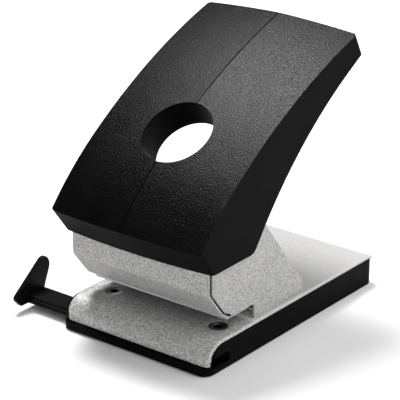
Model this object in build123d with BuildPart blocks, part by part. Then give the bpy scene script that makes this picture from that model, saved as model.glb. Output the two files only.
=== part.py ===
from build123d import *
import math
import os

# Desktop two-hole paper punch with a long curved lever.
# Frame: millimetres, +Z up, +Y to the rear, +X to the user's right.
# Origin: on the table, midway between the two punches.
os.makedirs("parts", exist_ok=True)

SIDES = {"left": -1, "right": 1}

# ---------------------------------------------------------------- driving dimensions
# Punching: the standard two-hole pattern for ring binders.
hole_spacing = 80.0
hole_margin = 12.0  # from the row of holes to the paper's edge
pin_radius = 2.75
running_gap = 0.05  # radial, for anything that turns or slides in a bore
pin_x = hole_spacing / 2

# Base
base_half_width = 56.0
base_front, base_rear = -32.0, 142.5
base_corner = 7.5
base_mid = (base_front + base_rear) / 2
base_length = base_rear - base_front
tray_bottom = 0.5
tray_floor = 2.8
tray_wall = 2.0
lip_top = 4.6  # height of the ledge in front of the nose
rim_top = 17.2
rim_width = 0.9
plate_top = 18.5
plate_thickness = 2.4
nose_front = -28.3
nose_foot = lip_top + 0.7
nose_radius = plate_top - nose_foot
nose_back = nose_front + nose_radius  # where the nose's curve meets the flat top
nose_corner, rear_corner = 5.0, 9.0  # of the plate, seen from above
fit_gap = 0.1

# Housing of the punching unit
sheet = 1.2
housing_half_width = 51.6
housing_inside = housing_half_width - sheet
cover_top = 67.0
front_face = -24.0
fold_height = 48.0
lip_fold = (-11.0, 31.4)  # where the slanting front turns flatter, (Y, Z)
front_foot = (-5.4, 27.9)
slot_top = 28.0
slot_back = 20.0
housing_bottom = plate_top + 0.05

# Inner punching frame
web_bottom, web_top = 26.4, 27.9
guide_top = 38.0
head_radius, head_height = 6.0, 2.9
head_top = 57.9
pin_tip = 27.0

# Lever and its pivot, (Y, Z)
pivot = (-14.0, 72.0)
axle_radius = 3.0
cam_radius = -pivot[0]  # base circle: the pins stand this far behind the pivot
cam_gap = 0.1
cheek_width = 4.0
hub_radius = 5.6

lever_half_width = 56.0
lever_draft = 1.0  # the skirts lean in by this much, 45 mm down
lever_skin = 2.2
band_skin = 1.2
crown = 4.1  # height of the centre seam above the side edges
roof_radius_rear, roof_radius_front = 384.0, 215.0
roof_join = (0.0, 114.1)  # where the two arcs of the side edge meet
roof_slope = 36.35  # degrees, at that point
skirt_bottom = 62.8
band_lean = (-12.1, 16.5)  # direction of the front band, going up, (Y, Z)

finger_hole = (12.6, 125.7)  # centre on the top face, (Y, Z)
finger_tilt = 36.9
finger_radius = 22.5
collar_wall = 2.1
collar_depth = 21.0

# Paper guide
guide_front, guide_rear = -24.8, -10.0
guide_bottom, guide_height = 4.5, 5.5
stop_x = -89.0
guide_length = 110.0


def lever_point(along, below):
    """A point (Y, Z) in the lever: along its top face from the finger hole, and below that face."""
    angle = math.radians(finger_tilt)
    return (
        finger_hole[0] + along * math.cos(angle) + below * math.sin(angle),
        finger_hole[1] + along * math.sin(angle) - below * math.cos(angle),
    )


def lever_plane(along, below, x=0.0):
    """A plane parallel to the top face at the finger hole, its normal pointing up out of the lever."""
    y, z = lever_point(along, below)
    angle = math.radians(finger_tilt)
    return Plane(origin=(x, y, z), x_dir=(1, 0, 0), z_dir=(0, -math.sin(angle), math.cos(angle)))


# ---------------------------------------------------------------- base
rim_radius = rim_top - lip_top  # the rim's nose stands just behind the plate's nose
hatch_half_width = 46.0
hatch_front = 3.4
hinge_y, hinge_z = 126.9, 2.4
hinge_radius = 0.75
knuckle_radius = 1.75
hatch_gap = 0.3
tray_screws_at = [(-22, -3), (22, -3), (-45, 133.2), (45, 133.2)]
ear_inner, ear_outer = hatch_half_width + 0.4, hatch_half_width + 4.0

with BuildPart() as base_tray:
    with BuildSketch(Plane.YZ):
        with BuildLine():
            Polyline(
                (nose_back, rim_top), (base_rear, rim_top), (base_rear, tray_bottom),
                (base_front, tray_bottom), (base_front, lip_top), (nose_back - rim_radius, lip_top),
            )
            CenterArc((nose_back, lip_top), rim_radius, start_angle=90, arc_size=90)
        side_face = make_face()
        fillet(side_face.vertices().group_by(Axis.Y)[0].sort_by(Axis.Z)[-1], 1.2)
    extrude(amount=base_half_width, both=True)
    with BuildSketch(Plane.XY):
        with Locations((0, base_mid)):
            RectangleRounded(2 * base_half_width, base_length, base_corner)
    extrude(amount=2 * rim_top, mode=Mode.INTERSECT)
    # Above the ledge the rim's front corners are rounded like the plate's.
    with BuildSketch(Plane.XY.offset(lip_top)):
        Rectangle(400, 400)
        with Locations((0, (nose_front + base_rear) / 2)):
            RectangleRounded(
                2 * base_half_width, base_rear - nose_front, nose_corner + rim_width, mode=Mode.SUBTRACT,
            )
    extrude(amount=rim_top, mode=Mode.SUBTRACT)
    # Seat of the steel plate: a rebate inside the rim, following the nose.
    with BuildSketch(Plane.YZ):
        with BuildLine():
            seat = plate_top - plate_thickness - fit_gap / 2
            inner_nose = nose_front + plate_thickness
            Polyline(
                (nose_back, seat), (base_rear - rim_width, seat), (base_rear - rim_width, 30),
                (base_front - 5, 30), (base_front - 5, lip_top + 0.6), (inner_nose, lip_top + 0.6),
            )
            EllipticalCenterArc(
                (nose_back, lip_top + 0.6), nose_back - inner_nose, seat - lip_top - 0.6,
                start_angle=90, arc_size=90,
            )
        make_face()
    extrude(amount=base_half_width - rim_width, both=True, mode=Mode.SUBTRACT)
    # The hollow that collects the chips.
    inner_front = guide_front - 0.5
    with BuildSketch(Plane.XY.offset(tray_floor)):
        with Locations((0, (inner_front + base_rear - tray_wall) / 2)):
            Rectangle(2 * (base_half_width - tray_wall), base_rear - tray_wall - inner_front)
    extrude(amount=30, mode=Mode.SUBTRACT)
    # Rib behind the paper guide, with two fingers that hold the guide down.
    with BuildSketch(Plane.XY.offset(tray_floor - 0.1)):
        with Locations((0, guide_rear + 1.2)):
            Rectangle(2 * (base_half_width - tray_wall) + 0.4, 1.6)
    extrude(amount=9.1)
    with BuildSketch(Plane.XY.offset(guide_bottom + guide_height + 0.3)):
        with Locations((-43, guide_rear - 5), (33, guide_rear - 5)):
            Rectangle(6, 13)
    extrude(amount=1.5)
    with BuildSketch(Plane.XY.offset(tray_floor - 0.1)):
        with Locations(
            *[(x, y) for x in (-48, 0, 48) for y in (guide_front + 2, guide_rear - 2)]
        ):
            Rectangle(8, 2)
    extrude(amount=guide_bottom - 0.15 - tray_floor + 0.1)
    # Openings for the paper guide in both side walls.
    with BuildSketch(Plane.YZ):
        with Locations(((guide_front + guide_rear) / 2, guide_bottom + guide_height / 2)):
            RectangleRounded(guide_rear - guide_front + 0.6, guide_height + 0.6, 1.0)
    extrude(amount=base_half_width + 5, both=True, mode=Mode.SUBTRACT)
    # Posts for the screws that hold the tray to the steel plate.
    with BuildSketch(Plane.XY.offset(tray_floor - 0.1)):
        with Locations(*tray_screws_at):
            Circle(3.4)
    extrude(amount=plate_top - plate_thickness - 0.1 - tray_floor + 0.1)
    # Ears of the hatch's hinge.
    with BuildSketch(Plane.YZ.offset(ear_inner)):
        with Locations((hinge_y, (tray_floor + hinge_z) / 2 + 1)):
            Rectangle(6, hinge_z + 2.2 - tray_floor + 2)
    extrude(amount=ear_outer - ear_inner)
    with BuildSketch(Plane.YZ.offset(-ear_outer)):
        with Locations((hinge_y, (tray_floor + hinge_z) / 2 + 1)):
            Rectangle(6, hinge_z + 2.2 - tray_floor + 2)
    extrude(amount=ear_outer - ear_inner)
    # Hatch opening.
    with BuildSketch(Plane.XY):
        with Locations((0, (hatch_front + hinge_y + knuckle_radius + hatch_gap) / 2)):
            Rectangle(2 * hatch_half_width, hinge_y + knuckle_radius + hatch_gap - hatch_front)
    extrude(amount=tray_floor + 0.1, mode=Mode.SUBTRACT)
    with BuildSketch(Plane.YZ):
        with Locations((hinge_y, hinge_z)):
            Circle(hinge_radius)
    extrude(amount=ear_outer, both=True, mode=Mode.SUBTRACT)
    # Screw holes with counterbores, and the groove of the rubber ring.
    with BuildSketch(Plane.XY):
        with Locations(*tray_screws_at):
            Circle(1.6)
    extrude(amount=30, mode=Mode.SUBTRACT)
    with BuildSketch(Plane.XY):
        with Locations(*tray_screws_at):
            Circle(3.1)
    extrude(amount=2.3, mode=Mode.SUBTRACT)
    with BuildSketch(Plane.XY):
        with Locations((0, base_mid)):
            RectangleRounded(107.1, 169.1, 4.5)
            RectangleRounded(101.4, 163.4, 1.8, mode=Mode.SUBTRACT)
    extrude(amount=1.25, mode=Mode.SUBTRACT)
base_tray.part.label = "base_tray"
export_step(base_tray.part, "parts/base_tray.step")

with BuildPart() as rubber_ring:
    with BuildSketch(Plane.XY):
        with Locations((0, base_mid)):
            RectangleRounded(107, 169, 4.5)
            RectangleRounded(101.5, 163.5, 1.8, mode=Mode.SUBTRACT)
    extrude(amount=1.2)
rubber_ring.part.label = "rubber_ring"
export_step(rubber_ring.part, "parts/rubber_ring.step")

with BuildPart() as tray_screws:
    with BuildSketch(Plane.XY.offset(0.7)):
        with Locations(*tray_screws_at):
            Circle(2.9)
            RectangleRounded(3.4, 0.8, 0.3, mode=Mode.SUBTRACT)
    extrude(amount=1.55)
    with BuildSketch(Plane.XY.offset(1.2)):
        with Locations(*tray_screws_at):
            Circle(1.45)
    extrude(amount=16.6)
tray_screws.part.label = "tray_screws"
export_step(tray_screws.part, "parts/tray_screws.step")

hatch_bottom = hinge_z - knuckle_radius
with BuildPart() as chip_hatch:
    with BuildSketch(Plane.XY.offset(hatch_bottom)):
        with Locations((0, (hatch_front + hatch_gap + hinge_y) / 2)):
            Rectangle(2 * (hatch_half_width - hatch_gap), hinge_y - hatch_front - hatch_gap)
        with Locations((0, hatch_front + hatch_gap)):
            Circle(9, mode=Mode.SUBTRACT)
    extrude(amount=2.0)
    # Stiffening ribs on the inside.
    with BuildSketch(Plane.XY.offset(hatch_bottom + 1.9)):
        with Locations((-30, 62), (0, 66), (30, 62)):
            Rectangle(1.6, 84)
    extrude(amount=2.0)
    with BuildSketch(Plane.YZ):
        with Locations((hinge_y, hinge_z)):
            Circle(knuckle_radius)
    extrude(amount=hatch_half_width - hatch_gap, both=True)
    with BuildSketch(Plane.YZ):
        with Locations((hinge_y, hinge_z)):
            Circle(hinge_radius + running_gap)
    extrude(amount=hatch_half_width, both=True, mode=Mode.SUBTRACT)
chip_hatch.part.label = "chip_hatch"
export_step(chip_hatch.part, "parts/chip_hatch.step")

with BuildPart() as hatch_pin:
    with BuildSketch(Plane.YZ):
        with Locations((hinge_y, hinge_z)):
            Circle(hinge_radius)
    extrude(amount=ear_outer, both=True)
hatch_pin.part.label = "hatch_pin"
export_step(hatch_pin.part, "parts/hatch_pin.step")

foot_rivets_at = [(x, y) for x in (-44, 44) for y in (28, 58)]
plate_half_width = base_half_width - rim_width - fit_gap
plate_rear = base_rear - rim_width - fit_gap
die_seat, dish_radius, dish_angle = 6.0, 8.6, 146.0
locator_x = 52.3
with BuildPart() as base_plate:
    with BuildSketch(Plane.YZ):
        with BuildLine():
            under = plate_top - plate_thickness
            Polyline((nose_back, plate_top), (plate_rear, plate_top), (plate_rear, under), (nose_back, under))
            CenterArc((nose_back, nose_foot), nose_radius - plate_thickness, start_angle=90, arc_size=90)
            Line((nose_front + plate_thickness, nose_foot), (nose_front, nose_foot))
            CenterArc((nose_back, nose_foot), nose_radius, start_angle=90, arc_size=90)
        make_face()
    extrude(amount=plate_half_width, both=True)
    with BuildSketch(Plane.XY):
        with Locations((0, (nose_front + plate_rear) / 2)):
            outline = Rectangle(2 * plate_half_width, plate_rear - nose_front)
        fillet(outline.vertices().group_by(Axis.Y)[0], nose_corner)
        fillet(outline.vertices().group_by(Axis.Y)[-1], rear_corner)
    extrude(amount=2 * plate_top, mode=Mode.INTERSECT)
    upper = base_plate.faces().filter_by(Plane.XY).sort_by(Axis.Z)[-1]
    nose = base_plate.faces().filter_by(lambda f: f.area > 1000).sort_by(Axis.Y)[0]
    rim = [e for e in upper.edges() if e.center().Y > nose_back + 1]
    rim += [e for e in nose.edges() if e.center().Z > nose_foot + 1 and abs(e.center().X) > 40]
    fillet(rim, 2.0)
    # Seats of the dies, with a shallow dish round each.
    for x in (-pin_x, pin_x):
        with Locations((x, 0, plate_top)):
            CounterSinkHole(die_seat, dish_radius, counter_sink_angle=dish_angle)
    with BuildSketch(Plane.XY.offset(plate_top - plate_thickness)):
        with Locations(*tray_screws_at):
            Circle(1.5)
    extrude(amount=1.8, mode=Mode.SUBTRACT)
    with BuildSketch(Plane.XY.offset(plate_top - plate_thickness)):
        with Locations(*foot_rivets_at):
            Circle(2.05)
        # Locating holes beside the housing's rear corners.
        with Locations((-locator_x, 67.4), (locator_x, 67.4)):
            Circle(0.6)
    extrude(amount=plate_thickness, mode=Mode.SUBTRACT)
base_plate.part.label = "base_plate"
export_step(base_plate.part, "parts/base_plate.step")

with BuildPart() as foot_rivets:
    with BuildSketch(Plane.XY.offset(plate_top - plate_thickness)):
        with Locations(*foot_rivets_at):
            Circle(2.0)
    extrude(amount=plate_thickness + sheet + 0.1)
    with BuildSketch(Plane.XY.offset(housing_bottom + sheet)):
        with Locations(*foot_rivets_at):
            Circle(3.6)
    extrude(amount=1.4)
    fillet(foot_rivets.faces().filter_by(Plane.XY).group_by(Axis.Z)[-1].edges(), 1.0)
foot_rivets.part.label = "foot_rivets"
export_step(foot_rivets.part, "parts/foot_rivets.step")

# Hardened dies, set in the plate from below.
die_top = 17.65
for side, sign in SIDES.items():
    with BuildPart() as die:
        with BuildSketch(Plane.XZ):
            with BuildLine():
                Polyline(
                    (pin_radius + running_gap, 15.2), (pin_radius + running_gap, die_top),
                    (die_seat - 0.05, die_top), (die_seat - 0.05, 16.05), (7.5, 16.05), (7.5, 13.6),
                    (pin_radius + 0.9, 13.6), (pin_radius + 0.9, 15.2), close=True,
                )
            make_face()
        revolve(axis=Axis.Z)
    placed = die.part.moved(Location((sign * pin_x, 0, 0)))
    placed.label = f"die_{side}"
    export_step(placed, f"parts/die_{side}.step")

# ---------------------------------------------------------------- housing of the punching unit
rear_edge = [(70.0, housing_bottom), (69.0, 26.0), (26.3, 80.0)]  # of the side plates, (Y, Z)
rear_wall_top = (31.0, 74.0)
cover_face = [(front_face, cover_top), (front_face, fold_height), lip_fold, front_foot]


def x_bar(points, half_width):
    """Closed (Y, Z) outline carried across the width."""
    with BuildPart() as bar:
        with BuildSketch(Plane.YZ):
            with BuildLine():
                Polyline(*points, close=True)
            make_face()
        extrude(amount=half_width, both=True)
    return bar.part


def offset_line(points, depth):
    """The open (Y, Z) polyline moved by the given depth to the left of its direction."""
    normals = []
    for (y0, z0), (y1, z1) in zip(points, points[1:]):
        length = math.dist((y0, z0), (y1, z1))
        normals.append(((z0 - z1) / length, (y1 - y0) / length))
    moved = []
    for (y, z), a, b in zip(points, [normals[0], *normals], [*normals, normals[-1]]):
        share = depth / (1 + a[0] * b[0] + a[1] * b[1])
        moved.append((y + share * (a[0] + b[0]), z + share * (a[1] + b[1])))
    return moved


# The side plates' front edge stands behind the front cover and leaves a gap.
upper_gap, lower_gap = 3.6, 2.6
with BuildPart() as housing:
    side_outline = [
        (slot_back, housing_bottom), *rear_edge, (-2.0, 84.0), (-15.0, 82.0),
        (front_face + upper_gap, 77.0), (front_face + upper_gap, fold_height - 0.4),
        offset_line(cover_face, lower_gap)[2], (-0.1, slot_top), (slot_back, slot_top),
    ]
    with BuildSketch(Plane.YZ):
        with BuildLine():
            Polyline(*side_outline, close=True)
        make_face()
    extrude(amount=housing_half_width, both=True)
    with BuildSketch(Plane.YZ):
        with Locations((25, 50)):
            Rectangle(120, 90)
    extrude(amount=housing_inside, both=True, mode=Mode.SUBTRACT)
    # Sloping rear wall between the side plates.
    inward = math.radians(51.5)
    dy, dz = sheet * math.sin(inward), sheet * math.cos(inward)
    add(x_bar(
        [
            (70.0, housing_bottom), (69.0, 26.0), rear_wall_top,
            (rear_wall_top[0] - dy, rear_wall_top[1] - dz), (69.0 - sheet, 26.0 - dz / 2),
            (70.0 - sheet, housing_bottom),
        ],
        housing_inside + 0.1,
    ))
    # Feet folded inward on the base plate.
    for sign in SIDES.values():
        with BuildSketch(Plane.XY.offset(housing_bottom)):
            with Locations((sign * (housing_inside - 6 + 0.05), 43)):
                Rectangle(12.1, 46)
        extrude(amount=sheet)
    with BuildSketch(Plane.YZ):
        with Locations(pivot):
            Circle(axle_radius + 0.02)
    extrude(amount=housing_half_width + 1, both=True, mode=Mode.SUBTRACT)
    with BuildSketch(Plane.XY.offset(plate_top)):
        with Locations(*foot_rivets_at):
            Circle(2.05)
    extrude(amount=2 * sheet, mode=Mode.SUBTRACT)
housing.part.label = "housing"
export_step(housing.part, "parts/housing.step")

with BuildPart() as front_cover:
    bend_radii = [6.0, 5.0]
    inner_face = offset_line(cover_face, sheet)
    with BuildSketch(Plane.YZ):
        with BuildLine():
            FilletPolyline(*cover_face, radius=bend_radii)
            Line(cover_face[-1], inner_face[-1])
            FilletPolyline(*reversed(inner_face), radius=[r - sheet for r in reversed(bend_radii)])
            Line(inner_face[0], cover_face[0])
        make_face()
    extrude(amount=housing_half_width, both=True)
    # Flanges that lie inside the side plates, behind the lever's band.
    for sign in SIDES.values():
        with BuildSketch(Plane.YZ.offset(sign * (housing_inside - 0.2 - sheet / 2))):
            with Locations((front_face + sheet + 4.4, 63.9)):
                Rectangle(9, 5)
        extrude(amount=sheet / 2, both=True)
front_cover.part.label = "front_cover"
export_step(front_cover.part, "parts/front_cover.step")

# ---------------------------------------------------------------- inner punching frame
with BuildPart() as punch_frame:
    with BuildSketch(Plane.XY.offset(web_bottom)):
        with Locations((0, 5.75)):
            Rectangle(2 * (housing_inside - 0.2), 21.5)
        with Locations((-pin_x, 0), (pin_x, 0)):
            Circle(pin_radius + 0.3, mode=Mode.SUBTRACT)
    extrude(amount=web_top - web_bottom)
    # Rear flange and the end tabs welded to the side plates.
    with BuildSketch(Plane.XY.offset(web_top - 0.1)):
        with Locations((0, 15.75)):
            Rectangle(2 * (housing_inside - 0.2), 1.5)
        with Locations((-housing_inside + 0.9, 10), (housing_inside - 0.9, 10)):
            Rectangle(1.4, 13)
    extrude(amount=14)
punch_frame.part.label = "punch_frame"
export_step(punch_frame.part, "parts/punch_frame.step")

for side, sign in SIDES.items():
    with BuildPart() as guide_block:
        with BuildSketch(Plane.YZ.offset(sign * pin_x)):
            with BuildLine():
                Polyline(
                    (-3.3, web_top + 0.05), (-7.6, 33.6), (-7.6, guide_top), (8, guide_top),
                    (8, web_top + 0.05), close=True,
                )
            make_face()
        extrude(amount=8, both=True)
        with Locations((sign * pin_x, 0, guide_top)):
            Hole(pin_radius + running_gap)
    guide_block.part.label = f"guide_block_{side}"
    export_step(guide_block.part, f"parts/guide_block_{side}.step")

with BuildPart() as paper_stop:
    with BuildSketch(Plane.XY.offset(plate_top + 0.05)):
        with Locations((0, hole_margin + 1.25)):
            Rectangle(60, 2.5)
    extrude(amount=web_bottom - plate_top - 0.1)
paper_stop.part.label = "paper_stop"
export_step(paper_stop.part, "parts/paper_stop.step")

# ---------------------------------------------------------------- pivot
axle_half_length = 52.8
clip_from, clip_to = housing_half_width + 0.15, housing_half_width + 0.85
with BuildPart() as pivot_axle:
    with BuildSketch(Plane.YZ):
        with Locations(pivot):
            Circle(axle_radius)
    extrude(amount=axle_half_length, both=True)
    for sign in SIDES.values():
        with BuildSketch(Plane.YZ.offset(sign * (clip_from + clip_to) / 2)):
            with Locations(pivot):
                Circle(axle_radius + 1)
                Circle(axle_radius - 0.6, mode=Mode.SUBTRACT)
        extrude(amount=(clip_to - clip_from) / 2 + 0.05, both=True, mode=Mode.SUBTRACT)
pivot_axle.part.label = "pivot_axle"
export_step(pivot_axle.part, "parts/pivot_axle.step")

with BuildPart() as axle_clips:
    for sign in SIDES.values():
        with BuildSketch(Plane.YZ.offset(sign * (clip_from + clip_to) / 2)):
            with Locations(pivot):
                Circle(5.2)
                Circle(axle_radius - 0.55, mode=Mode.SUBTRACT)
            with Locations((pivot[0], pivot[1] - 4)):
                Rectangle(3.6, 8, mode=Mode.SUBTRACT)
        extrude(amount=(clip_to - clip_from) / 2, both=True)
axle_clips.part.label = "axle_clips"
export_step(axle_clips.part, "parts/axle_clips.step")

cheek_outside = pin_x + cheek_width / 2
with BuildPart() as axle_spacers:
    for sign in SIDES.values():
        middle = (cheek_outside + 0.25 + housing_inside - 0.15) / 2
        with BuildSketch(Plane.YZ.offset(sign * middle)):
            with Locations(pivot):
                Circle(5.0)
                Circle(axle_radius + 0.02, mode=Mode.SUBTRACT)
        extrude(amount=(housing_inside - 0.15 - cheek_outside - 0.25) / 2, both=True)
axle_spacers.part.label = "axle_spacers"
export_step(axle_spacers.part, "parts/axle_spacers.step")

# ---------------------------------------------------------------- punches
for side, sign in SIDES.items():
    with BuildPart() as punch_pin:
        with BuildSketch(Plane.XZ):
            with BuildLine():
                Polyline(
                    (0, pin_tip + 0.9), (pin_radius, pin_tip), (pin_radius, head_top - head_height),
                    (head_radius, head_top - head_height), (head_radius, head_top), (0, head_top),
                    close=True,
                )
            head_profile = make_face()
            fillet(head_profile.vertices().group_by(Axis.X)[-1], 0.5)
        revolve(axis=Axis.Z)
    placed = punch_pin.part.moved(Location((sign * pin_x, 0, 0)))
    placed.label = f"punch_pin_{side}"
    export_step(placed, f"parts/punch_pin_{side}.step")

    with BuildPart() as return_spring:
        with BuildSketch(Plane.XY.offset(guide_top + 0.05)):
            with Locations((sign * pin_x, 0)):
                Circle(5.3)
                Circle(3.5, mode=Mode.SUBTRACT)
        extrude(amount=head_top - head_height - guide_top - 0.1)
    return_spring.part.label = f"return_spring_{side}"
    export_step(return_spring.part, f"parts/return_spring_{side}.step")

# ---------------------------------------------------------------- lever
start_angle = 90 + roof_slope  # of the join, seen from the arcs' centres
rear_centre = (
    roof_join[0] - roof_radius_rear * math.cos(math.radians(start_angle)),
    roof_join[1] - roof_radius_rear * math.sin(math.radians(start_angle)),
)
front_centre = (
    roof_join[0] - roof_radius_front * math.cos(math.radians(start_angle)),
    roof_join[1] - roof_radius_front * math.sin(math.radians(start_angle)),
)
with BuildLine(Plane.YZ) as roof_path:
    CenterArc(rear_centre, roof_radius_rear, start_angle - 23, arc_size=23)
    CenterArc(front_centre, roof_radius_front, start_angle, arc_size=26)


def lever_form(skin):
    """The lever's outer form, or its hollow when skin is the wall's thickness."""
    half = lever_half_width - skin
    depth = 75.0
    edge_drop = lever_draft * depth / 45
    section_plane = Plane(roof_path.line @ 0, x_dir=(1, 0, 0), z_dir=roof_path.line % 0)
    with BuildPart() as form:
        with BuildSketch(section_plane) as section:
            with BuildLine():
                ThreePointArc((-half, -skin), (-half / 2, crown * 0.66 - skin), (0, crown - skin))
                ThreePointArc((0, crown - skin), (half / 2, crown * 0.66 - skin), (half, -skin))
                Polyline((half, -skin), (half - edge_drop, -depth), (edge_drop - half, -depth), (-half, -skin))
            make_face()
        sweep(path=roof_path.line)
    return form.part


# Side view of the skirts' lower edge and of the rear end, (Y, Z).
skirt_edge = [(-70, skirt_bottom), (14.8, skirt_bottom), (55.0, 119.0), (121.4, 158.0)]
skirt_radii = [7.0, 280.0, 1.5]
end_lean = (-0.46, 0.888)  # direction of the end wall, going up, (Y, Z)
end_height = 22.0
band_mid, band_side = -28.4, -24.6  # front band at the skirts' lower edge: centre and corners
band_corner, end_corner = 2.0, 2.5


def raised(point, height):
    """The point (Y, Z) moved along the end wall."""
    return (point[0] + height * end_lean[0], point[1] + height * end_lean[1])


def band_cut(inset, bottom):
    """Everything behind the front band's face, or behind its inner face for an inset."""
    level = inset / math.cos(math.atan2(-band_lean[0], band_lean[1]))
    shift = (bottom - skirt_bottom) * band_lean[0] / band_lean[1]
    mid, side = band_mid + level + shift, band_side + level + shift
    side_x = lever_half_width + 3
    with BuildPart() as cut:
        with BuildSketch(Plane.XY.offset(bottom)):
            with BuildLine():
                ThreePointArc((-side_x, side), (0, mid), (side_x, side))
                Polyline((side_x, side), (side_x, 260), (-side_x, 260), (-side_x, side))
            make_face()
        extrude(amount=220, dir=(0, *band_lean))
    return cut.part


def nearest_edges(part, *points):
    """For each point, the edge whose centre is nearest."""
    return [part.edges().sort_by(lambda e, p=Vector(*q): (e.center() - p).length)[0] for q in points]


with BuildPart() as outer_form:
    add(lever_form(0))
    with BuildSketch(Plane.YZ):
        with BuildLine():
            end_top = raised(skirt_edge[-1], end_height)
            FilletPolyline(*skirt_edge, end_top, radius=skirt_radii)
            Polyline(end_top, (-70, end_top[1]), skirt_edge[0])
        make_face()
    extrude(amount=80, both=True, mode=Mode.INTERSECT)
    add(band_cut(0, skirt_bottom), mode=Mode.INTERSECT)
    # Rounded corners of the end, seen from above.
    end_plane = Plane(origin=(0, *skirt_edge[-1]), x_dir=(1, 0, 0), z_dir=(0, *end_lean))
    with BuildSketch(end_plane.offset(-160)):
        with Locations((0, 0.02 - 200)):
            RectangleRounded(2 * lever_half_width, 400, end_corner)
    extrude(amount=220, mode=Mode.INTERSECT)
    for sign in SIDES.values():
        fillet(nearest_edges(outer_form, (sign * lever_half_width, -31.4, 71.6)), band_corner)

with BuildPart() as hollow_form:
    add(lever_form(lever_skin))
    inner_end = (
        skirt_edge[-1][0] - lever_skin * end_lean[1], skirt_edge[-1][1] + lever_skin * end_lean[0],
    )
    with BuildSketch(Plane.YZ):
        with BuildLine():
            Polyline(
                raised(inner_end, -120), raised(inner_end, end_height + 10), (-80, 190), (-80, 40),
                close=True,
            )
        make_face()
    extrude(amount=80, both=True, mode=Mode.INTERSECT)
    add(band_cut(band_skin, skirt_bottom - 15), mode=Mode.INTERSECT)
    for sign in SIDES.values():
        fillet(nearest_edges(hollow_form, (sign * (lever_half_width - lever_skin), -26.3, 68)), 1.5)

# Screws that hold the steel frame to the cover: across, and along the lever.
frame_screws_at = [(x, along) for x in (-33, 33) for along in (-40, 38)]
web_depth = 13.0
web_thickness = 2.0


def circle_through(a, b, c):
    """Centre and radius of the circle through three points of a plane."""
    d = 2 * (a[0] * (b[1] - c[1]) + b[0] * (c[1] - a[1]) + c[0] * (a[1] - b[1]))
    squares = [p[0] ** 2 + p[1] ** 2 for p in (a, b, c)]
    u = (squares[0] * (b[1] - c[1]) + squares[1] * (c[1] - a[1]) + squares[2] * (a[1] - b[1])) / d
    v = (squares[0] * (c[0] - b[0]) + squares[1] * (a[0] - c[0]) + squares[2] * (b[0] - a[0])) / d
    return (u, v), math.dist((u, v), a)


# Underside of the liner, from its front edge past the finger hole to the lever's end, (Y, Z).
liner_line = [lever_point(-27, 20), lever_point(24.5, 20.5), (116.2, 162.3)]
liner_centre, liner_radius = circle_through(*liner_line)
liner_thickness = 2.0


def above_liner(point, height):
    """The point (Y, Z) moved away from the liner's centre of curvature."""
    reach = math.dist(liner_centre, point)
    return tuple(c + (p - c) * (reach + height) / reach for p, c in zip(point, liner_centre))


def liner_plane(y, x, height):
    """A plane along the liner at the given Y, its normal pointing at the lever's top."""
    on_line = (y, liner_centre[1] + math.sqrt(liner_radius**2 - (y - liner_centre[0]) ** 2))
    up = above_liner(on_line, 1)
    origin = above_liner(on_line, height)
    return Plane(
        origin=(x, *origin), x_dir=(1, 0, 0), z_dir=(0, up[0] - on_line[0], up[1] - on_line[1]),
    )


liner_screws_at = [(x, 88.0) for x in (-34, 34)]  # (X, Y)

with BuildPart() as lever_cover:
    add(outer_form.part)
    add(hollow_form.part, mode=Mode.SUBTRACT)
    # Collar of the finger hole, and bosses for the screws.
    with BuildSketch(lever_plane(0, collar_depth)):
        Circle(finger_radius + collar_wall)
    extrude(amount=collar_depth + 15)
    with BuildSketch(lever_plane(0, web_depth - 0.05)):
        with Locations(*frame_screws_at):
            Circle(3.4)
    extrude(amount=25)
    for x, y in liner_screws_at:
        with BuildSketch(liner_plane(y, x, liner_thickness + 0.05)):
            Circle(3.4)
        extrude(amount=20)
    add(outer_form.part, mode=Mode.INTERSECT)
    with BuildSketch(lever_plane(0, collar_depth + 5)):
        Circle(finger_radius)
    extrude(amount=60, mode=Mode.SUBTRACT)
    with BuildSketch(lever_plane(0, web_depth)):
        with Locations(*frame_screws_at):
            Circle(1.5)
    extrude(amount=6, mode=Mode.SUBTRACT)
    for x, y in liner_screws_at:
        with BuildSketch(liner_plane(y, x, 0)):
            Circle(1.5)
        extrude(amount=6.5, mode=Mode.SUBTRACT)
    # Fine groove along the centre seam.
    with BuildSketch(Plane(roof_path.line @ 0, x_dir=(1, 0, 0), z_dir=roof_path.line % 0)):
        with BuildLine():
            Polyline((-0.6, crown + 0.5), (0, crown - 1.0), (0.6, crown + 0.5), close=True)
        make_face()
    sweep(path=roof_path.line, mode=Mode.SUBTRACT)
lever_cover.part.label = "lever_cover"
export_step(lever_cover.part, "parts/lever_cover.step")

liner_half_width, liner_neck = 53.0, 47.5
with BuildPart() as lever_liner:
    with BuildSketch(Plane.YZ):
        with BuildLine():
            upper = [above_liner(p, liner_thickness) for p in liner_line]
            ThreePointArc(*liner_line)
            Line(liner_line[-1], upper[-1])
            ThreePointArc(*reversed(upper))
            Line(upper[0], liner_line[0])
        make_face()
    extrude(amount=liner_half_width, both=True)
    # The front part is narrower, to pass between the housing's side plates.
    with BuildSketch(Plane.XY):
        with Locations((-liner_neck - 10, -20), (liner_neck + 10, -20)):
            Rectangle(20, 92)
    extrude(amount=200, mode=Mode.SUBTRACT)
    with BuildSketch(lever_plane(0, 40)):
        Circle(finger_radius + collar_wall + 0.15)
    extrude(amount=60, mode=Mode.SUBTRACT)
    for x, y in liner_screws_at:
        for radius, depth in ((3.1, 1.2), (1.6, 4.0)):
            with BuildSketch(liner_plane(y, x, -1)):
                Circle(radius)
            extrude(amount=1 + depth, mode=Mode.SUBTRACT)
    fillet(lever_liner.edges().filter_by(GeomType.LINE).group_by(Axis.Y)[-1].filter_by(Axis.X), 0.6)
lever_liner.part.label = "lever_liner"
export_step(lever_liner.part, "parts/lever_liner.step")

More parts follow.
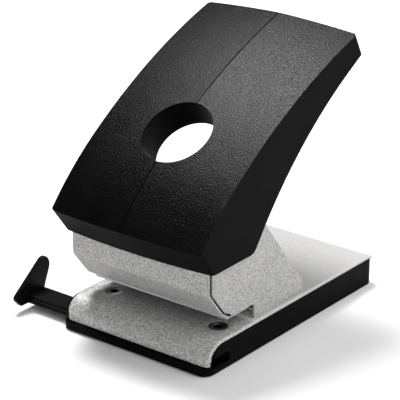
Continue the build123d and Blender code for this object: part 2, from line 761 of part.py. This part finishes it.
with BuildPart() as liner_screws:
    for x, y in liner_screws_at:
        with BuildSketch(liner_plane(y, x, 0.05)):
            Circle(2.9)
        extrude(amount=1.1)
        with BuildSketch(liner_plane(y, x, 0.1)):
            Circle(1.45)
        extrude(amount=6)
liner_screws.part.label = "liner_screws"
export_step(liner_screws.part, "parts/liner_screws.step")


def cam_point(turn):
    """Point of the involute cam that presses the pin when the lever has turned by this angle."""
    reach = pivot[1] - head_top - cam_gap + cam_radius * turn
    return (
        pivot[0] + cam_radius * math.cos(turn) + reach * math.sin(turn),
        pivot[1] + cam_radius * math.sin(turn) - reach * math.cos(turn),
    )


with BuildPart() as lever_frame:
    with BuildSketch(lever_plane(0, web_depth + web_thickness)):
        with Locations((0, -2)):
            Rectangle(2 * cheek_outside, 96)
        Circle(finger_radius + collar_wall + 1, mode=Mode.SUBTRACT)
        with Locations(*frame_screws_at):
            Circle(1.6, mode=Mode.SUBTRACT)
    extrude(amount=web_thickness)
    cam_turns = [0.76 - 0.126 * i for i in range(9)]
    for sign in SIDES.values():
        with BuildSketch(Plane.YZ.offset(sign * pin_x)):
            with BuildLine():
                cam = Spline(*[cam_point(turn) for turn in cam_turns])
                Polyline(
                    cam @ 1, (pivot[0], pivot[1] - hub_radius), (pivot[0] - hub_radius, pivot[1]),
                    lever_point(-50, web_depth + 0.1), lever_point(46, web_depth + 0.1),
                    lever_point(46, web_depth + 4), lever_point(-27, web_depth + 4.5), cam @ 0,
                )
            make_face()
            with Locations(pivot):
                Circle(hub_radius)
        extrude(amount=cheek_width / 2, both=True)
    with BuildSketch(Plane.YZ):
        with Locations(pivot):
            Circle(axle_radius + running_gap)
    extrude(amount=cheek_outside + 1, both=True, mode=Mode.SUBTRACT)
lever_frame.part.label = "lever_frame"
export_step(lever_frame.part, "parts/lever_frame.step")

with BuildPart() as frame_screws:
    with BuildSketch(lever_plane(0, web_depth + web_thickness + 1.9)):
        with Locations(*frame_screws_at):
            Circle(2.9)
    extrude(amount=1.85)
    with BuildSketch(lever_plane(0, web_depth + web_thickness + 1)):
        with Locations(*frame_screws_at):
            Circle(1.45)
    extrude(amount=8)
frame_screws.part.label = "frame_screws"
export_step(frame_screws.part, "parts/frame_screws.step")

# ---------------------------------------------------------------- paper guide
stop_thickness = 3.2
stop_outline = [(-10.2, 4.5), (-31.5, 4.5), (-36.8, 10.5), (-8.2, 32.8), (-4.0, 24.4), (-10.2, 9.4)]
with BuildPart() as paper_guide:
    with BuildSketch(Plane.YZ.offset(stop_x)):
        with Locations(((guide_front + guide_rear) / 2, guide_bottom + guide_height / 2)):
            Rectangle(guide_rear - guide_front, guide_height)
        # Two shallow grooves along the front face.
        with Locations((guide_front, guide_bottom + 1.9), (guide_front, guide_bottom + 4.1)):
            Rectangle(1.4, 0.9, mode=Mode.SUBTRACT)
    extrude(amount=guide_length)
    fillet(paper_guide.edges().filter_by(Axis.X).group_by(Axis.Y)[0].group_by(Axis.Z)[-1], 0.6)
    # Notches that index the usual paper sizes.
    with BuildSketch(Plane.XY.offset(guide_bottom + guide_height)):
        with Locations(*[(stop_x + 54 + 7 * i, -14.3) for i in range(8)]):
            Rectangle(1.6, 5)
    extrude(amount=-0.5, mode=Mode.SUBTRACT)
    with BuildSketch(Plane.YZ.offset(stop_x - stop_thickness)):
        with BuildLine():
            FilletPolyline(*stop_outline, radius=[2.0, 2.5, 4.4, 6.0], close=False)
            Line(stop_outline[-1], stop_outline[0])
        make_face()
    extrude(amount=stop_thickness)
    outer_face = paper_guide.faces().sort_by(Axis.X)[0]
    chamfer(outer_face.edges(), 0.8)
paper_guide.part.label = "paper_guide"
export_step(paper_guide.part, "parts/paper_guide.step")

with BuildPart() as guide_spring:
    with BuildSketch(Plane.YZ.offset(stop_x + 82)):
        with BuildLine():
            Polyline(
                (-8.1, 11.85), (-12, 11.85), (-14.3, 10.1), (-16.4, 11.7), (-17.6, 12.05),
                (-17.5, 12.45), (-16.2, 12.1), (-14.3, 10.6), (-12.2, 12.25), (-8.1, 12.25),
                close=True,
            )
        make_face()
    extrude(amount=0.7, both=True)
guide_spring.part.label = "guide_spring"
export_step(guide_spring.part, "parts/guide_spring.step")
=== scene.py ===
import math

import bmesh
import bpy
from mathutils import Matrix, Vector


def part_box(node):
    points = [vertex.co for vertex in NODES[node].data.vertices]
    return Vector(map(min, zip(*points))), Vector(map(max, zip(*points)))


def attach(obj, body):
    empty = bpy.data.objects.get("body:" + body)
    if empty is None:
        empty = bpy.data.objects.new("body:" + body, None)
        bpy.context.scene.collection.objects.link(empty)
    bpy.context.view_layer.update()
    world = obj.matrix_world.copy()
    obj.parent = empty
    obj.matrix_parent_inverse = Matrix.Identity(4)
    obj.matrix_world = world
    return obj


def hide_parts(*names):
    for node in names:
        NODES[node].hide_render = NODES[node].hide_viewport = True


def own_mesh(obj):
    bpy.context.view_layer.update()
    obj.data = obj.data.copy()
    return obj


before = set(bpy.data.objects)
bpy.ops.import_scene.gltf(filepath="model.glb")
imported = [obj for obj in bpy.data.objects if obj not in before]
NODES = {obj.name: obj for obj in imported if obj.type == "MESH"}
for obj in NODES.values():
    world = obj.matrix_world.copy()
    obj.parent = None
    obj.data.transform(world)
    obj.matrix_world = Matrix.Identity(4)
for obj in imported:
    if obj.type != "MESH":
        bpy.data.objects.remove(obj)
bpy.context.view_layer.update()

MM = 0.001

# ---------------------------------------------------------------- camera
# The photograph looks down on the punch from its front right with a long lens.
CAMERA_AZIMUTH = math.radians(38.14)
CAMERA_ELEVATION = math.radians(22.10)
CAMERA_DISTANCE = 1.1381
CAMERA_TARGET = Vector((0.0109, 0.0199, 0.0839))
LENS = 173.3
SENSOR = 36.0


def make_camera():
    back = Vector((
        math.sin(CAMERA_AZIMUTH) * math.cos(CAMERA_ELEVATION),
        -math.cos(CAMERA_AZIMUTH) * math.cos(CAMERA_ELEVATION),
        math.sin(CAMERA_ELEVATION),
    ))
    data = bpy.data.cameras.new("camera")
    data.lens = LENS
    data.sensor_width = SENSOR
    data.clip_start, data.clip_end = 0.05, 20.0
    camera = bpy.data.objects.new("camera", data)
    bpy.context.scene.collection.objects.link(camera)
    camera.location = CAMERA_TARGET + back * CAMERA_DISTANCE
    camera.rotation_mode = "QUATERNION"
    camera.rotation_quaternion = (-back).to_track_quat("-Z", "Y")
    bpy.context.scene.camera = camera


# ---------------------------------------------------------------- shader helpers
def new_material(name):
    """An empty node material and its tree."""
    material = bpy.data.materials.new(name)
    material.use_nodes = True
    material.node_tree.nodes.clear()
    return material, material.node_tree


def node(tree, kind, inputs=None, **settings):
    """A shader node, its settings, and its inputs from numbers or from other nodes' outputs."""
    made = tree.nodes.new(kind)
    for name, value in settings.items():
        setattr(made, name, value)
    for name, value in (inputs or {}).items():
        if isinstance(value, bpy.types.NodeSocket):
            tree.links.new(value, made.inputs[name])
        else:
            made.inputs[name].default_value = value
    return made


def place(tree):
    """Position on the piece, in metres, which moves with the piece."""
    return node(tree, "ShaderNodeTexCoord").outputs["Object"]


def noise(tree, size, detail=2.0, roughness=0.5, vector=None):
    """Noise whose features are about that size, in metres."""
    made = node(tree, "ShaderNodeTexNoise", {
        "Vector": vector or place(tree), "Scale": 1 / size, "Detail": detail, "Roughness": roughness,
    })
    return made.outputs["Fac"]


def math_node(tree, operation, first, second=0.0):
    """The result of one operation on one or two numbers or sockets."""
    made = node(tree, "ShaderNodeMath", operation=operation)
    for socket, value in zip(made.inputs, (first, second)):
        if isinstance(value, bpy.types.NodeSocket):
            tree.links.new(value, socket)
        else:
            socket.default_value = value
    return made.outputs[0]


def between(tree, value, low, high, from_low=0.0, from_high=1.0):
    """The value, mapped smoothly from one range to another."""
    made = node(tree, "ShaderNodeMapRange", {
        "Value": value, "From Min": from_low, "From Max": from_high, "To Min": low, "To Max": high,
    }, interpolation_type="SMOOTHSTEP")
    return made.outputs["Result"]


def shade(tree, value, dark, light):
    """A colour from dark to light as the value goes from 0 to 1."""
    made = node(tree, "ShaderNodeMix", {"Factor": value}, data_type="RGBA")
    first, second = (socket for socket in made.inputs if socket.type == "RGBA")
    first.default_value = (*dark, 1)
    second.default_value = (*light, 1)
    return next(socket for socket in made.outputs if socket.type == "RGBA")


def bump(tree, height, distance, strength=1.0):
    """A normal tilted by a height from 0 to 1, which stands for that distance in metres."""
    inputs = {"Height": height, "Distance": distance, "Strength": strength}
    return node(tree, "ShaderNodeBump", inputs).outputs["Normal"]


def surface(tree, inputs):
    """The finished shader."""
    shader = node(tree, "ShaderNodeBsdfPrincipled", inputs)
    output = node(tree, "ShaderNodeOutputMaterial")
    tree.links.new(shader.outputs["BSDF"], output.inputs["Surface"])


# ---------------------------------------------------------------- materials
BLACK_LOW, BLACK_HIGH = (0.0008, 0.0008, 0.0009), (0.0025, 0.0025, 0.0026)
SILVER_DARK, SILVER_LIGHT = (0.30, 0.296, 0.288), (0.80, 0.795, 0.785)
# distance over which the painted glint in the silver's fleck fades behind the row of holes
FLECK_GLINT_FADE = 30 * MM
LEVER_ROUGHNESS, SKIRT_ROUGHNESS = 0.30, 0.58
LEVER_SPECULAR = 0.04
LEVER_GLOSS = 0.20  # weight of the clear skin on the top
LEVER_GRAIN = 0.26 * MM


def lever_plastic():
    """Black moulding: a glossier, spark-eroded grain on the top, duller and smoother skirts."""
    material, tree = new_material("lever_black")
    facing = node(tree, "ShaderNodeTexCoord").outputs["Normal"]
    parts = node(tree, "ShaderNodeSeparateXYZ", {"Vector": facing})
    sideways = math_node(tree, "ABSOLUTE", parts.outputs["X"])
    top = math_node(
        tree, "MULTIPLY", between(tree, sideways, 1.0, 0.0, 0.5, 0.85),
        between(tree, parts.outputs["Z"], 0.0, 1.0, 0.0, 0.3),
    )
    grain = noise(tree, 0.75 * MM, detail=1.0, roughness=0.7)
    speckle = between(tree, grain, -1.0, 1.0, 0.38, 0.62)
    cloud = noise(tree, 25 * MM, detail=3.0)
    uneven = math_node(tree, "MULTIPLY", speckle, between(tree, top, 0.0, -0.05))
    roughness = math_node(tree, "ADD", between(tree, top, SKIRT_ROUGHNESS, LEVER_ROUGHNESS), uneven)
    relief = bump(tree, math_node(tree, "MULTIPLY", grain, between(tree, top, 0.08, 1.0)), LEVER_GRAIN)
    surface(tree, {
        "Base Color": shade(tree, cloud, BLACK_LOW, BLACK_HIGH),
        "Roughness": math_node(tree, "ADD", roughness, between(tree, cloud, -0.03, 0.03, 0.3, 0.7)),
        "Specular IOR Level": LEVER_SPECULAR,
        "Normal": relief,
        "Coat Weight": math_node(tree, "MULTIPLY", top, LEVER_GLOSS),
        "Coat Roughness": LEVER_ROUGHNESS,
        "Coat Normal": relief,
    })
    return material


def black_plastic(name, grain_size, specular, roughness):
    """Plain black moulding with a faint grain."""
    material, tree = new_material(name)
    grain = noise(tree, grain_size, detail=2.0)
    cloud = noise(tree, 20 * MM, detail=3.0)
    surface(tree, {
        "Base Color": shade(tree, cloud, BLACK_LOW, BLACK_HIGH),
        "Roughness": between(tree, cloud, roughness - 0.05, roughness + 0.05),
        "Specular IOR Level": specular,
        "Normal": bump(tree, grain, 0.05 * MM, 0.6),
    })
    return material


def silver_paint(name, tone, front_fleck_glint, rear_fleck_glint):
    """Silver-grey paint whose fleck goes from one strength at the row of holes to another behind it.
    The fleck is the paint's grain; its strength in the colour is painted glint, strong where light
    grazes the front, and a stronger fleck also makes the colour lighter.
    """
    material, tree = new_material(name)
    along = node(tree, "ShaderNodeSeparateXYZ", {"Vector": place(tree)}).outputs["Y"]
    # how strongly the fleck shows in the colour: painted glint, strong at the row of holes
    strength = between(tree, along, front_fleck_glint, rear_fleck_glint, 0.0, FLECK_GLINT_FADE)
    fleck = noise(tree, 0.55 * MM, detail=1.0, roughness=0.7)
    mottle = noise(tree, 1.6 * MM, detail=2.0)
    mixed = math_node(
        tree, "ADD", math_node(tree, "MULTIPLY", fleck, 0.7), math_node(tree, "MULTIPLY", mottle, 0.3),
    )
    # the fleck in the colour, scaled by that painted glint strength
    fleck_and_glint = math_node(tree, "MULTIPLY", between(tree, mixed, -0.5, 0.5, 0.36, 0.64), strength)
    surface(tree, {
        "Base Color": shade(
            tree, math_node(tree, "ADD", fleck_and_glint, 0.5),
            # the tone scales the colour; the unit's lower tone is painted shade
            tuple(c * tone for c in SILVER_DARK), tuple(c * tone for c in SILVER_LIGHT),
        ),
        "Metallic": 0.2,
        "Roughness": between(tree, fleck, 0.40, 0.55),
        "Specular IOR Level": 0.4,
        "Normal": bump(tree, fleck, 0.05 * MM, math_node(tree, "MULTIPLY", strength, 0.6)),
    })
    return material


def steel(name, tone, roughness, grain=(1.0, 1.0, 1.0)):
    """Bare or plated steel with drawn or ground streaks along one axis."""
    material, tree = new_material(name)
    stretched = node(tree, "ShaderNodeMapping", {"Vector": place(tree), "Scale": grain})
    streaks = noise(tree, 0.6 * MM, detail=3.0, vector=stretched.outputs["Vector"])
    patches = noise(tree, 6 * MM, detail=2.0)
    dark = tuple(c * 0.72 for c in tone)
    worn = math_node(tree, "MULTIPLY", streaks, between(tree, patches, 0.6, 1.3))
    surface(tree, {
        "Base Color": shade(tree, worn, dark, tone),
        "Metallic": 1.0,
        "Roughness": between(tree, streaks, roughness - 0.08, roughness + 0.1),
        "Normal": bump(tree, streaks, 0.01 * MM, 0.4),
    })
    return material


def rubber():
    material, tree = new_material("black_rubber")
    grain = noise(tree, 0.3 * MM)
    surface(tree, {
        "Base Color": shade(tree, grain, (0.010, 0.010, 0.010), (0.022, 0.022, 0.022)),
        "Roughness": between(tree, grain, 0.75, 0.9),
        "Specular IOR Level": 0.2,
        "Normal": bump(tree, grain, 0.04 * MM, 0.6),
    })
    return material


def floor_material():
    material, tree = new_material("studio_floor")
    tint = noise(tree, 0.4, detail=2.0)
    surface(tree, {
        "Base Color": shade(tree, tint, (0.895, 0.893, 0.895), (0.905, 0.903, 0.905)),
        "Roughness": 0.9,
        "Specular IOR Level": 0.05,
    })
    return material


# ---------------------------------------------------------------- finish of the CAD nodes
MERGE_DISTANCE = 0.002 * MM
FLAT_ANGLE = math.radians(0.6)
SHARP_ANGLE = math.radians(28)


def soften_edges(piece, width):
    """Rounds a piece's sharp edges a little, as moulding, pressing or paint leaves them."""
    weld = piece.modifiers.new("weld", "WELD")
    weld.merge_threshold = MERGE_DISTANCE
    flat = piece.modifiers.new("flat", "DECIMATE")
    flat.decimate_type = "DISSOLVE"
    flat.angle_limit = FLAT_ANGLE
    round_off = piece.modifiers.new("bevel", "BEVEL")
    round_off.width = width
    round_off.segments = 3
    round_off.limit_method = "ANGLE"
    round_off.angle_limit = SHARP_ANGLE
    round_off.use_clamp_overlap = True
    normals = piece.modifiers.new("normals", "WEIGHTED_NORMAL")
    normals.mode = "FACE_AREA"
    normals.weight = 60
    normals.keep_sharp = False


def paint(names, material, edge):
    """Gives the nodes a material and a slot, and rounds their edges to that width."""
    for name in names:
        piece = NODES[name]
        piece.data.materials.clear()
        piece.data.materials.append(material)
        soften_edges(piece, edge)


def finish_nodes():
    """Paints every node, and returns the springs' wire for the coils."""
    paint(["lever_cover"], lever_plastic(), 0.7 * MM)
    paint(["lever_liner"], black_plastic("liner_black", 0.5 * MM, 0.06, 0.6), 0.3 * MM)
    base_black = black_plastic("base_black", 0.5 * MM, 0.03, 0.5)
    paint(["base_tray", "chip_hatch"], base_black, 0.35 * MM)
    guide_black = black_plastic("guide_black", 0.4 * MM, 0.10, 0.42)
    paint(["paper_guide", "axle_spacers"], guide_black, 0.3 * MM)
    # the base plate's colour fleck is strong at the row of holes and faint behind: paint grain with
    # painted glint
    paint(["base_plate"], silver_paint("silver_base", 0.95, 1.4, 0.2), 0.3 * MM)
    # the housing and front cover take the base plate's silver at a lower tone: painted shade, a darker
    # copy of one paint
    paint(["housing", "front_cover"], silver_paint("silver_unit_shaded", 0.70, 1.0, 1.0), 0.3 * MM)
    plated = steel("plated_steel", (0.50, 0.51, 0.52), 0.38, (1.0, 0.2, 0.2))
    pressed = ["lever_frame", "punch_frame", "paper_stop", "guide_block_left", "guide_block_right"]
    paint(pressed, plated, 0.2 * MM)
    ground = steel("ground_steel", (0.60, 0.60, 0.60), 0.22, (1.0, 1.0, 0.15))
    hardened = ["punch_pin_left", "punch_pin_right", "die_left", "die_right", "pivot_axle"]
    paint(hardened, ground, 0.15 * MM)
    zinc = steel("zinc_steel", (0.55, 0.56, 0.57), 0.32)
    fasteners = ["foot_rivets", "frame_screws", "liner_screws", "tray_screws", "hatch_pin"]
    paint(fasteners, zinc, 0.15 * MM)
    wire = steel("spring_wire", (0.36, 0.36, 0.37), 0.30)
    paint(["axle_clips", "guide_spring"], wire, 0.1 * MM)
    paint(["rubber_ring"], rubber(), 0.2 * MM)
    return wire


# ---------------------------------------------------------------- return springs
WIRE_RADIUS = 0.75 * MM
FREE_TURNS = 6.0
CLOSED_TURNS = 0.9  # at each end
TURN_GAP = 2.1  # between the end turns, in wire radii
STEPS_PER_TURN = 28
WIRE_SIDES = 10


def coil_point(turn, centre, radius, bottom, top):
    """A point of the wire's centre line; the end turns lie flat on each other."""
    total = FREE_TURNS + 2 * CLOSED_TURNS
    low, high = bottom + WIRE_RADIUS, top - WIRE_RADIUS
    step = TURN_GAP * WIRE_RADIUS * CLOSED_TURNS
    if turn < CLOSED_TURNS:
        z = low + step * turn / CLOSED_TURNS
    elif turn > total - CLOSED_TURNS:
        z = high - step * (total - turn) / CLOSED_TURNS
    else:
        share = (turn - CLOSED_TURNS) / FREE_TURNS
        z = low + step + (high - low - 2 * step) * share
    angle = 2 * math.pi * turn
    return Vector((centre.x + radius * math.cos(angle), centre.y + radius * math.sin(angle), z))


def return_spring(side, wire):
    """A coil that stands for the plain tube of the CAD model."""
    low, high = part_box(f"return_spring_{side}")
    centre = (low + high) / 2
    radius = (high.x - low.x) / 2 - WIRE_RADIUS
    total = FREE_TURNS + 2 * CLOSED_TURNS
    count = round(total * STEPS_PER_TURN)
    points = [coil_point(total * i / count, centre, radius, low.z, high.z) for i in range(count + 1)]
    mesh = bmesh.new()
    rings = []
    for i, point in enumerate(points):
        ahead = points[min(i + 1, count)] - points[max(i - 1, 0)]
        ahead.normalize()
        outward = Vector((point.x - centre.x, point.y - centre.y, 0)).normalized()
        across = ahead.cross(outward).normalized()
        ring = []
        for k in range(WIRE_SIDES):
            angle = 2 * math.pi * k / WIRE_SIDES
            offset = math.cos(angle) * outward + math.sin(angle) * across
            ring.append(mesh.verts.new(point + WIRE_RADIUS * offset))
        rings.append(ring)
    for one, two in zip(rings, rings[1:]):
        for k in range(WIRE_SIDES):
            n = (k + 1) % WIRE_SIDES
            mesh.faces.new((one[k], one[n], two[n], two[k]))
    mesh.faces.new(rings[0][::-1])
    mesh.faces.new(rings[-1])
    bmesh.ops.recalc_face_normals(mesh, faces=mesh.faces)
    data = bpy.data.meshes.new(f"coil_spring_{side}")
    mesh.to_mesh(data)
    mesh.free()
    for polygon in data.polygons:
        polygon.use_smooth = len(polygon.vertices) == 4
    data.materials.append(wire)
    coil = bpy.data.objects.new(f"coil_spring_{side}", data)
    bpy.context.scene.collection.objects.link(coil)
    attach(coil, f"punch_{side}")
    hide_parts(f"return_spring_{side}")
    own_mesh(coil)


# ---------------------------------------------------------------- studio
BRIGHT_SIDE = (0.80, 0.30, 0.45)
ROOM_DARK, ROOM_BRIGHT = 0.04, 1.25
LIT_POINT = Vector((0.0, 0.03, 0.10))
SOFTBOX_DISTANCE = 1.2
SOFTBOX_WIDTH = 0.42
FLOOR_HALF = 6.0
SOFTBOX_SIDE = Vector((-0.38, 0.17, 0.90))
SOFTBOX_POWER = 18.5


def make_floor():
    data = bpy.data.meshes.new("floor")
    corners = [(x * FLOOR_HALF, y * FLOOR_HALF, 0) for x, y in ((-1, -1), (1, -1), (1, 1), (-1, 1))]
    data.from_pydata(corners, [], [(0, 1, 2, 3)])
    data.materials.append(floor_material())
    floor = bpy.data.objects.new("floor", data)
    bpy.context.scene.collection.objects.link(floor)


def make_softbox():
    """A square softbox over the punch, a little to the left and behind."""
    data = bpy.data.lights.new("top_softbox", "AREA")
    data.shape = "RECTANGLE"
    data.size = data.size_y = SOFTBOX_WIDTH
    data.energy = SOFTBOX_POWER
    light = bpy.data.objects.new("top_softbox", data)
    light.location = LIT_POINT + SOFTBOX_SIDE.normalized() * SOFTBOX_DISTANCE
    light.rotation_mode = "QUATERNION"
    light.rotation_quaternion = (LIT_POINT - light.location).to_track_quat("-Z", "Y")
    bpy.context.scene.collection.objects.link(light)


def make_world():
    """A bright room, darker in front and on the left than overhead and on the right."""
    world = bpy.data.worlds.new("studio")
    world.use_nodes = True
    tree = world.node_tree
    direction = node(tree, "ShaderNodeTexCoord").outputs["Generated"]
    toward = node(tree, "ShaderNodeVectorMath", operation="DOT_PRODUCT")
    tree.links.new(direction, toward.inputs[0])
    toward.inputs[1].default_value = BRIGHT_SIDE
    background = tree.nodes["Background"]
    background.inputs["Color"].default_value = (1.0, 1.0, 1.0, 1)
    strength = between(tree, toward.outputs["Value"], ROOM_DARK, ROOM_BRIGHT, -0.1, 0.6)
    tree.links.new(strength, background.inputs["Strength"])
    bpy.context.scene.world = world


make_camera()
make_floor()
make_world()
make_softbox()
spring_wire = finish_nodes()
for side_name in ("left", "right"):
    return_spring(side_name, spring_wire)
bpy.context.scene.view_settings.view_transform = "Standard"
